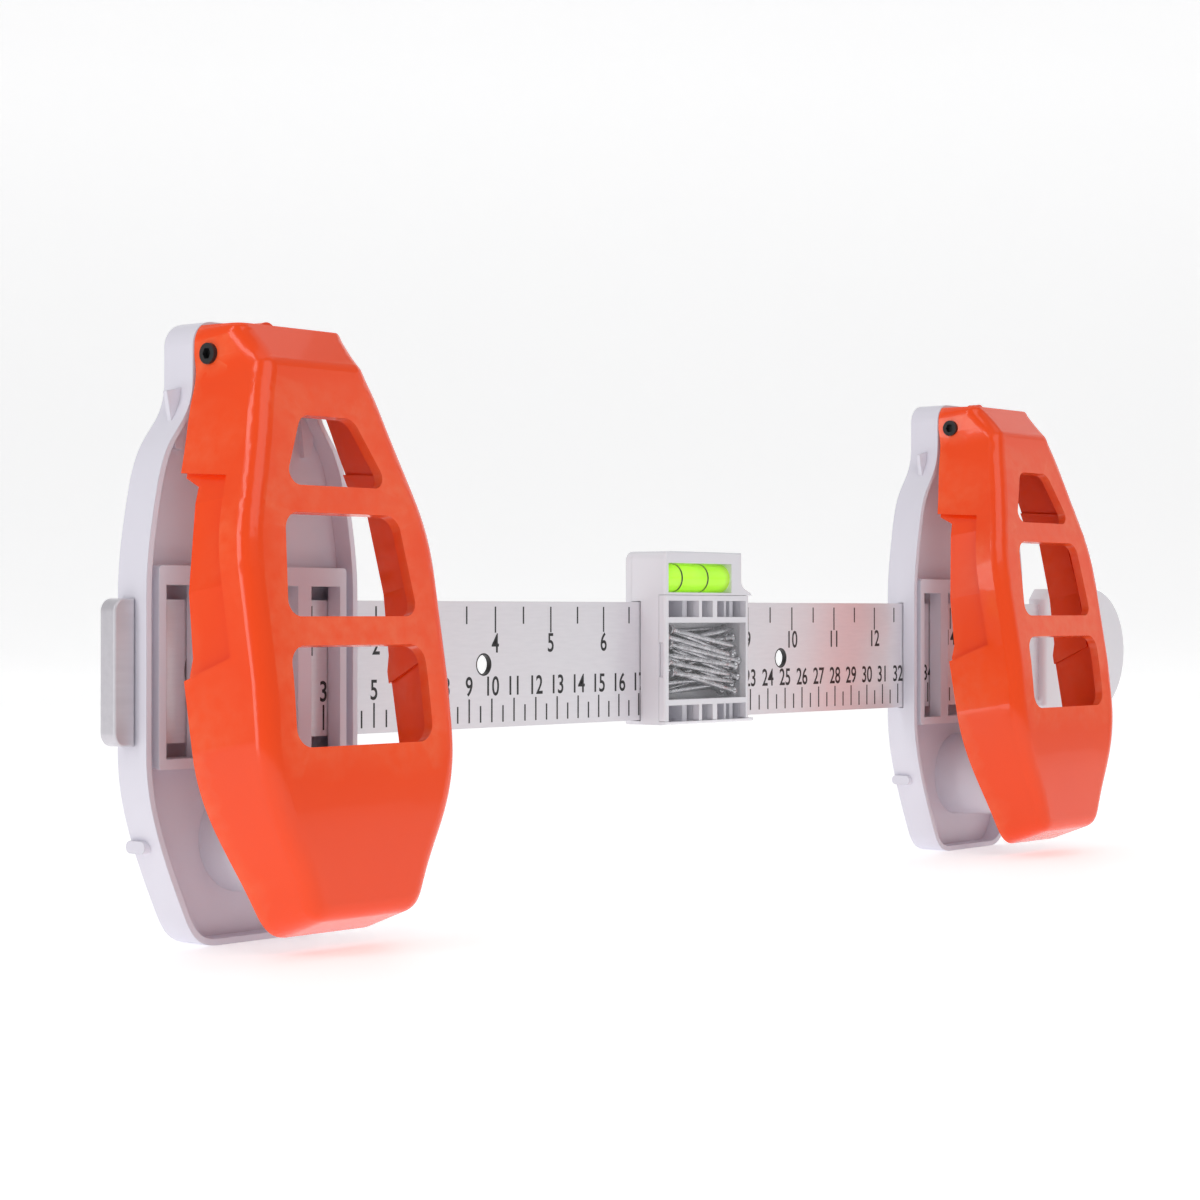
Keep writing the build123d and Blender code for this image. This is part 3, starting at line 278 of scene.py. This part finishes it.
def vial_liquid():
    """Neon liquid with a painted glow from its emission, and the bubble as a paler patch in its
    upper half, between the rings.
    """
    low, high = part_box("vial_fluid")
    made = Finish("vial_liquid", (0.58, 0.92, 0.010), 0.18)
    made.vary_colour((0.60, 0.93, 0.03), 150.0)
    split = made.node("ShaderNodeSeparateXYZ")
    made.link(made.place, split.inputs[0])
    ring_low, ring_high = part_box("vial_rings")
    bubble = (ring_low.x + ring_high.x) / 2
    reach = (ring_high.x - ring_low.x) * BUBBLE_REACH
    away = made.node("ShaderNodeMath", operation="SUBTRACT")
    made.link(split.outputs["X"], away.inputs[0])
    away.inputs[1].default_value = bubble
    far = made.node("ShaderNodeMath", operation="ABSOLUTE")
    made.link(away.outputs[0], far.inputs[0])
    inside = made.spread(far.outputs[0], 1.0, 0.0, reach * BUBBLE_EDGE, reach)
    middle_z = (low.z + high.z) / 2
    upper = made.spread(split.outputs["Z"], 0.0, 1.0, middle_z, middle_z + BUBBLE_FADE)
    patch = made.node("ShaderNodeMath", operation="MULTIPLY")
    made.link(inside, patch.inputs[0])
    made.link(upper, patch.inputs[1])
    base = made.shader.inputs["Base Color"]
    made.link(made.mix(patch.outputs[0], base.links[0].from_socket, (0.66, 0.93, 0.20)), base)
    # Painted glow: the emission lights the liquid, though it is no lamp.
    return made.set(Emission_Color=(0.50, 0.82, 0.02, 1.0), Emission_Strength=0.5)


def printed_ink():
    made = Finish("printed_ink", (0.006, 0.006, 0.007), 0.42)
    made.vary_colour((0.022, 0.021, 0.024), 900.0)
    made.vary_roughness(0.34, 0.55, 700.0)
    return made.material


ruler_finish = brushed_metal(
    "ruler_metal", (0.82, 0.80, 0.84), (0.79, 0.77, 0.81), 0.34, (3, 20, 20), 0.45, 0.01
)
ruler_finish.set(Coat_Weight=0.25, Coat_Roughness=0.12)
shell_finish = moulded_plastic(
    "white_shell", (0.74, 0.72, 0.80), (0.77, 0.75, 0.83), 0.36, 0.10, 0.35 * MM
)
gloss_finish = moulded_plastic(
    "white_gloss", (0.79, 0.78, 0.83), (0.82, 0.81, 0.85), 0.21, 0.05, 0.35 * MM
)
gloss_finish.set(Coat_Weight=0.3, Coat_Roughness=0.08)
cap_finish = brushed_metal(
    "silver_cap", (0.64, 0.62, 0.66), (0.60, 0.58, 0.62), 0.36, (1, 8, 8), 0.45, 0.01
)
black_finish = moulded_plastic(
    "black_screw", (0.010, 0.010, 0.011), (0.02, 0.02, 0.022), 0.34, 0.15, 0.15 * MM
)
ring_finish = moulded_plastic(
    "ring_black", (0.008, 0.010, 0.006), (0.02, 0.02, 0.015), 0.35, 0.05, 0.0
)
FINISHES = {
    "ruler_metal": ruler_finish.material,
    "silver_cap": cap_finish.material,
    "white_shell": shell_finish.material,
    "white_gloss": gloss_finish.material,
    "orange_lever": glossy_lever(),
    "steel": scratched_steel("steel", (0.66, 0.66, 0.69), 0.16),
    "spring_steel": scratched_steel("spring_steel", (0.50, 0.50, 0.53), 0.30),
    "black_screw": black_finish.material,
    "clear_pane": clear_pane(),
    "vial_clear": vial_acrylic(),
    "vial_liquid": vial_liquid(),
    "ring_black": ring_finish.material,
}
INK = printed_ink()
NAIL_STEEL = scratched_steel("nail_steel", (0.58, 0.58, 0.61), 0.13)


def paint(obj, material):
    obj.data.materials.clear()
    obj.data.materials.append(material)


for part in frame["record"]["subparts"]:
    paint(frame["nodes"][part["node"]], FINISHES[part["material_slot"]])


# ------------------------------------------------------------------ pieces made here
def new_piece(name, mesh, material, body, smooth=False):
    """Links a finished mesh as a piece that rides on a CAD body."""
    piece = bpy.data.objects.new(name, mesh)
    bpy.context.scene.collection.objects.link(piece)
    for face in mesh.polygons:
        face.use_smooth = smooth
    mesh.materials.append(material)
    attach(piece, body)
    return piece


def bar(mesh, x, low, high, width):
    """Adds one printed stroke: a very thin upright bar on the ruler's face."""
    middle = Vector((x, RULER_FACE - INK_THICK / 2, (low + high) / 2))
    size = Matrix.Diagonal((width, INK_THICK, high - low, 1.0))
    bmesh.ops.create_cube(mesh, size=1.0, matrix=Matrix.Translation(middle) @ size)


def holes_on_ruler():
    """The x and the radius of each marking hole, from the record's mounts."""
    mounts = frame["record"]["mounts"]
    return [
        (m["pos_m"][0], m["dims"]["r_mm"] * MM) for m in mounts if "marking_hole" in m["name"]
    ]


def print_marks():
    """The inch marks along the top edge and the centimetre marks along the bottom edge."""
    strokes = bmesh.new()
    top = RULER_MIDDLE + RULER_HALF - TICK_EDGE
    bottom = RULER_MIDDLE - RULER_HALF + TICK_EDGE
    for half in range(1, 2 * INCHES + 2):
        x = ZERO + half * INCH / 2
        if x < LAST_PRINT:
            bar(strokes, x, top - INCH_TICKS[half % 2], top, TICK_WIDTH)
    for half in range(1, 2 * CENTIMETRES + 2):
        x = ZERO + half * 5 * MM
        if x < LAST_PRINT:
            bar(strokes, x, bottom, bottom + CM_TICKS[half % 2], TICK_WIDTH)
    mesh = bpy.data.meshes.new("scale_marks")
    strokes.to_mesh(mesh)
    strokes.free()
    return new_piece("scale_marks", mesh, INK, "ruler")


def number_mesh(text, x, z):
    """The printed number, as a thin mesh centred at x and z on the ruler's face."""
    curve = bpy.data.curves.new("number", "FONT")
    curve.body = text
    curve.align_x = "CENTER"
    curve.align_y = "CENTER"
    curve.size = DIGIT_HEIGHT / FONT_CAP
    curve.offset = DIGIT_BOLD
    curve.extrude = INK_THICK / 2
    curve.resolution_u = DIGIT_CURVE_STEPS
    writer = bpy.data.objects.new("number", curve)
    bpy.context.scene.collection.objects.link(writer)
    bpy.context.view_layer.update()
    mesh = bpy.data.meshes.new_from_object(
        writer.evaluated_get(bpy.context.evaluated_depsgraph_get())
    )
    place = (
        Matrix.Translation((x, RULER_FACE - INK_THICK / 2, z))
        @ Matrix.Rotation(math.radians(90), 4, "X")
        @ Matrix.Diagonal((DIGIT_WIDEN, 1.0, 1.0, 1.0))
    )
    mesh.transform(place)
    bpy.data.objects.remove(writer)
    bpy.data.curves.remove(curve)
    return mesh


def print_numbers():
    """Inch numbers under their marks, centimetre numbers over theirs."""
    inch_z = RULER_MIDDLE + RULER_HALF - TICK_EDGE - INCH_TICKS[0] - DIGIT_GAP - DIGIT_HEIGHT / 2
    cm_z = RULER_MIDDLE - RULER_HALF + TICK_EDGE + CM_TICKS[0] + DIGIT_GAP + DIGIT_HEIGHT / 2
    joined = bmesh.new()
    numbers = [(str(n), ZERO + n * INCH, inch_z) for n in range(1, INCHES + 1)]
    numbers += [(str(n), ZERO + n * 10 * MM, cm_z) for n in range(1, CENTIMETRES + 1)]
    for text, x, z in numbers:
        if x < LAST_PRINT:
            made = number_mesh(text, x, z)
            joined.from_mesh(made)
            bpy.data.meshes.remove(made)
    mesh = bpy.data.meshes.new("scale_numbers")
    joined.to_mesh(mesh)
    joined.free()
    return new_piece("scale_numbers", mesh, INK, "ruler")


def line_holes():
    """Painted shade: a dark ink-coloured sheet over each marking hole's wall, with a thin printed
    ring around it.
    """
    hole_shade_and_ring = bmesh.new()
    blade_back = blade_high.y - 0.1 * MM
    for x, radius in holes_on_ruler():
        loops = []
        # Painted shade: the loops at the hole's radius, down to the blade's back, darken the
        # hole's wall; the loops out to the ring's width on the face are the printed ring.
        for reach, y in (
            (radius - INK_THICK, blade_back),
            (radius - INK_THICK, RULER_FACE - INK_THICK),
            (radius + HOLE_RING, RULER_FACE - INK_THICK),
            (radius + HOLE_RING, RULER_FACE),
            (radius, RULER_FACE),
            (radius, blade_back),
        ):
            centre = Vector((x, y, RULER_MIDDLE))
            points = circle_points(centre, Vector((1, 0, 0)), Vector((0, 0, 1)), reach, HOLE_SIDES)
            loops.append([hole_shade_and_ring.verts.new(p) for p in points])
        for first, second in zip(loops, loops[1:] + loops[:1]):
            for i in range(HOLE_SIDES):
                j = (i + 1) % HOLE_SIDES
                hole_shade_and_ring.faces.new((first[i], first[j], second[j], second[i]))
    bmesh.ops.recalc_face_normals(hole_shade_and_ring, faces=hole_shade_and_ring.faces)
    mesh = bpy.data.meshes.new("hole_shade_and_rings")
    hole_shade_and_ring.to_mesh(mesh)
    hole_shade_and_ring.free()
    return new_piece("hole_shade_and_rings", mesh, INK, "ruler")


def ring_strip(mesh, rings):
    """Joins rings of vertices, given as lists of points, into a closed skin."""
    made = [[mesh.verts.new(p) for p in ring] for ring in rings]
    count = len(made[0])
    for first, second in zip(made, made[1:]):
        for i in range(count):
            j = (i + 1) % count
            mesh.faces.new((first[i], first[j], second[j], second[i]))
    mesh.faces.new(list(reversed(made[0])))
    mesh.faces.new(made[-1])


def circle_points(centre, across, up, radius, count):
    turn = [2 * math.pi * i / count for i in range(count)]
    return [centre + radius * (math.cos(t) * across + math.sin(t) * up) for t in turn]


NAIL_LENGTH = 36 * MM
NAIL_R = 0.88 * MM
NAIL_HEAD_R = 1.5 * MM
NAIL_SIDES = 14
# Head and neck: distance from the nail's top in mm, radius over the head's radius.
NAIL_HEAD_PROFILE = ((0.0, 0.72), (0.0, 1.0), (0.75, 1.0), (0.85, 0.66), (1.6, 0.62))
GROOVES = 3
GROOVE_START = 2.2 * MM
GROOVE_STEP = 0.9 * MM
GROOVE_HALF = 0.3 * MM
GROOVE_DEEP = 0.86      # radius in a groove over the shank's radius
SHANK_START = 7 * MM
SHANK_STEP = 5 * MM
SHANK_STEPS = 5
POINT_LENGTH = 3 * MM
POINT_SHARP = 0.12      # radius at the tip over the shank's radius
NAIL_SEED = 11
SLOPE_SPREAD = 3.5      # degrees either way from a layer's slope
TIP_SPREAD = 0.02       # how far a nail leans out of its layer
BEND_SPREAD = 0.5 * MM
LAYER_MARGIN = 1.2 * MM     # from the box's floor and window to the outer layers
BOX_SIDE_GAP = 0.4 * MM
BOX_END_GAP = 0.5 * MM
# Layers of nails from the box's floor to its window: slope in degrees and number of nails.
NAIL_LAYERS = ((3, 8), (-14, 7), (9, 7), (-21, 6), (5, 7), (-16, 6), (-9, 7))


def nail(mesh, middle, direction, bend):
    """One nail: a grooved shank that bends a little, with a flat head and a point."""
    along = direction.normalized()
    across = along.orthogonal().normalized()
    up = along.cross(across)
    steps = [(x * MM, r * NAIL_HEAD_R) for x, r in NAIL_HEAD_PROFILE]
    for groove in range(GROOVES):
        start = GROOVE_START + GROOVE_STEP * groove
        steps += [
            (start, NAIL_R),
            (start + GROOVE_HALF, NAIL_R * GROOVE_DEEP),
            (start + 2 * GROOVE_HALF, NAIL_R),
        ]
    steps += [(SHANK_START + SHANK_STEP * k, NAIL_R) for k in range(SHANK_STEPS)]
    steps += [(NAIL_LENGTH - POINT_LENGTH, NAIL_R), (NAIL_LENGTH, NAIL_R * POINT_SHARP)]
    rings = []
    for x, radius in steps:
        share = x / NAIL_LENGTH - 0.5
        centre = middle + along * (x - NAIL_LENGTH / 2) + up * bend * (share * share - 0.25)
        rings.append(circle_points(centre, across, up, radius, NAIL_SIDES))
    ring_strip(mesh, rings)


def fill_nail_box():
    """Nails lying in layers across the box, as they fall when it is filled."""
    low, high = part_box("nails")
    pane_low, pane_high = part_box("nail_window")
    draw = random.Random(NAIL_SEED)
    middle_x = (pane_low.x + pane_high.x) / 2
    half_x = (pane_high.x - pane_low.x) / 2 - BOX_SIDE_GAP
    half_z = (pane_high.z - pane_low.z) / 2 - BOX_END_GAP
    middle_z = (pane_low.z + pane_high.z) / 2
    step = (high.y - low.y - 2 * LAYER_MARGIN) / (len(NAIL_LAYERS) - 1)
    nails = bmesh.new()
    for layer, (slope, count) in enumerate(NAIL_LAYERS):
        y = high.y - LAYER_MARGIN - layer * step
        for number in range(count):
            angle = math.radians(slope + draw.uniform(-SLOPE_SPREAD, SLOPE_SPREAD))
            reach_x = half_x - math.cos(angle) * NAIL_LENGTH / 2
            reach_z = half_z - abs(math.sin(angle)) * NAIL_LENGTH / 2 - NAIL_HEAD_R
            share = number / (count - 1) * 2 - 1
            x = middle_x + draw.uniform(-1, 1) * reach_x
            middle = Vector((x, y, middle_z + share * reach_z))
            way = 1 if draw.random() < 0.5 else -1
            lean = TIP_SPREAD * draw.uniform(-1, 1)
            direction = Vector((math.cos(angle), lean, math.sin(angle))) * way
            nail(nails, middle, direction, BEND_SPREAD * draw.uniform(-1, 1))
    mesh = bpy.data.meshes.new("loose_nails")
    nails.to_mesh(mesh)
    nails.free()
    piece = new_piece("loose_nails", mesh, NAIL_STEEL, BODY_OF["nails"], smooth=True)
    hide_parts("nails")
    return piece


SPRING_TURNS = 9
SPRING_STEPS = 28       # cross-sections per turn
WIRE_R = 0.6 * MM
WIRE_SIDES = 10
FLAT_TURNS = 0.8        # turns at each end of a return spring that lie flat


def coil_spring(side):
    """A return spring with closed end coils."""
    node = f"{side}_return_spring"
    low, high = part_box(node)
    radius = (high.x - low.x) / 2 - WIRE_R
    centre = Vector(((low.x + high.x) / 2, 0, (low.z + high.z) / 2))
    start, end = high.y - WIRE_R, low.y + WIRE_R
    mesh = bmesh.new()
    rings = []
    total = SPRING_TURNS * SPRING_STEPS
    for i in range(total + 1):
        share = i / total
        turn = 2 * math.pi * SPRING_TURNS * share
        open_turns = SPRING_TURNS - 2 * FLAT_TURNS
        lift = min(max((share * SPRING_TURNS - FLAT_TURNS) / open_turns, 0.0), 1.0)
        outward = Vector((math.cos(turn), 0, math.sin(turn)))
        spot = centre + outward * radius + Vector((0, start + (end - start) * lift, 0))
        rings.append(circle_points(spot, outward, Vector((0, 1, 0)), WIRE_R, WIRE_SIDES))
    ring_strip(mesh, rings)
    data = bpy.data.meshes.new(f"{side}_coil")
    mesh.to_mesh(data)
    mesh.free()
    piece = new_piece(f"{side}_coil", data, FINISHES["spring_steel"], BODY_OF[node], smooth=True)
    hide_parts(node)
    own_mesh(piece)
    return piece


print_marks()
print_numbers()
line_holes()
fill_nail_box()
for side in ARMS:
    coil_spring(side)


# ------------------------------------------------------------------ stage, light and camera
turn = math.radians(CAMERA_TURN)
rise = math.radians(CAMERA_RISE)
look = Vector(
    (math.sin(turn) * math.cos(rise), math.cos(turn) * math.cos(rise), math.sin(rise))
)
ahead = Vector((look.x, look.y, 0)).normalized()
sideway = Vector((ahead.y, -ahead.x, 0))


# Backdrop, in metres from the object's middle: the floor's near and far edge, the height of
# the wall, the radius of the curve between them and half of the whole width.
FLOOR_NEAR = -3.0
FLOOR_FAR = 2.6
WALL_HEIGHT = 3.2
COVE_R = 1.0
COVE_STEPS = 12
BACKDROP_HALF = 5.0


# Area lights: name, place from the object's middle, width and height in metres, power in watts.
LIGHTS = (
    ("key", (-0.5, -1.1, 1.1), 1.2, 0.9, 4.8),
    ("top", (0.1, 0.3, 1.6), 2.2, 1.6, 6.0),
    ("left_strip", (-1.3, 0.25, 0.45), 0.25, 1.4, 4.0),
    ("right_fill", (1.2, -0.9, 0.5), 0.8, 0.8, 1.0),
)
WORLD_STRENGTH = 0.38


def backdrop():
    """A white floor that curves up into a wall behind the object, square to the camera."""
    outline = [(FLOOR_NEAR, 0.0), (FLOOR_FAR, 0.0)]
    for k in range(1, COVE_STEPS + 1):
        a = math.radians(90 * k / COVE_STEPS)
        outline.append((FLOOR_FAR + COVE_R * math.sin(a), COVE_R * (1 - math.cos(a))))
    outline.append((FLOOR_FAR + COVE_R, WALL_HEIGHT))
    corners = []
    for along, height in outline:
        for across in (-BACKDROP_HALF, BACKDROP_HALF):
            corners.append(ahead * along + sideway * across + Vector((0, 0, height)))
    faces = [(2 * i, 2 * i + 1, 2 * i + 3, 2 * i + 2) for i in range(len(outline) - 1)]
    mesh = bpy.data.meshes.new("backdrop")
    mesh.from_pydata([tuple(c) for c in corners], [], faces)
    for face in mesh.polygons:
        face.use_smooth = True
    sheet = bpy.data.objects.new("backdrop", mesh)
    bpy.context.scene.collection.objects.link(sheet)
    paper = Finish("paper", (0.93, 0.93, 0.935), 0.55)
    paper.vary_roughness(0.5, 0.65, 3.0)
    paper.set(Emission_Color=(1.0, 1.0, 1.0, 1.0), Emission_Strength=0.41)
    mesh.materials.append(paper.material)
    return sheet


def area_light(name, place, aim, width, height, power):
    lamp = bpy.data.lights.new(name, "AREA")
    lamp.shape = "RECTANGLE"
    lamp.size = width
    lamp.size_y = height
    lamp.energy = power
    holder = bpy.data.objects.new(name, lamp)
    holder.location = place
    holder.rotation_mode = "QUATERNION"
    holder.rotation_quaternion = (Vector(aim) - Vector(place)).to_track_quat("-Z", "Y")
    bpy.context.scene.collection.objects.link(holder)
    return holder


middle = (size_low + size_high) / 2
backdrop()
[area_light(name, middle + Vector(way), middle, *rest) for name, way, *rest in LIGHTS]

world = bpy.data.worlds.new("studio")
world.use_nodes = True
world.node_tree.nodes["Background"].inputs["Color"].default_value = (1.0, 1.0, 1.0, 1.0)
world.node_tree.nodes["Background"].inputs["Strength"].default_value = WORLD_STRENGTH
bpy.context.scene.world = world
bpy.context.scene.view_settings.view_transform = "Standard"

camera_data = bpy.data.cameras.new("camera")
camera_data.lens = CAMERA_LENS
camera_data.sensor_width = 36.0
camera_data.clip_start = 0.05
camera_data.clip_end = 30.0
camera = bpy.data.objects.new("camera", camera_data)
camera.location = CAMERA_PLACE
camera.rotation_mode = "QUATERNION"
camera.rotation_quaternion = look.to_track_quat("-Z", "Y")
bpy.context.scene.collection.objects.link(camera)
bpy.context.scene.camera = camera
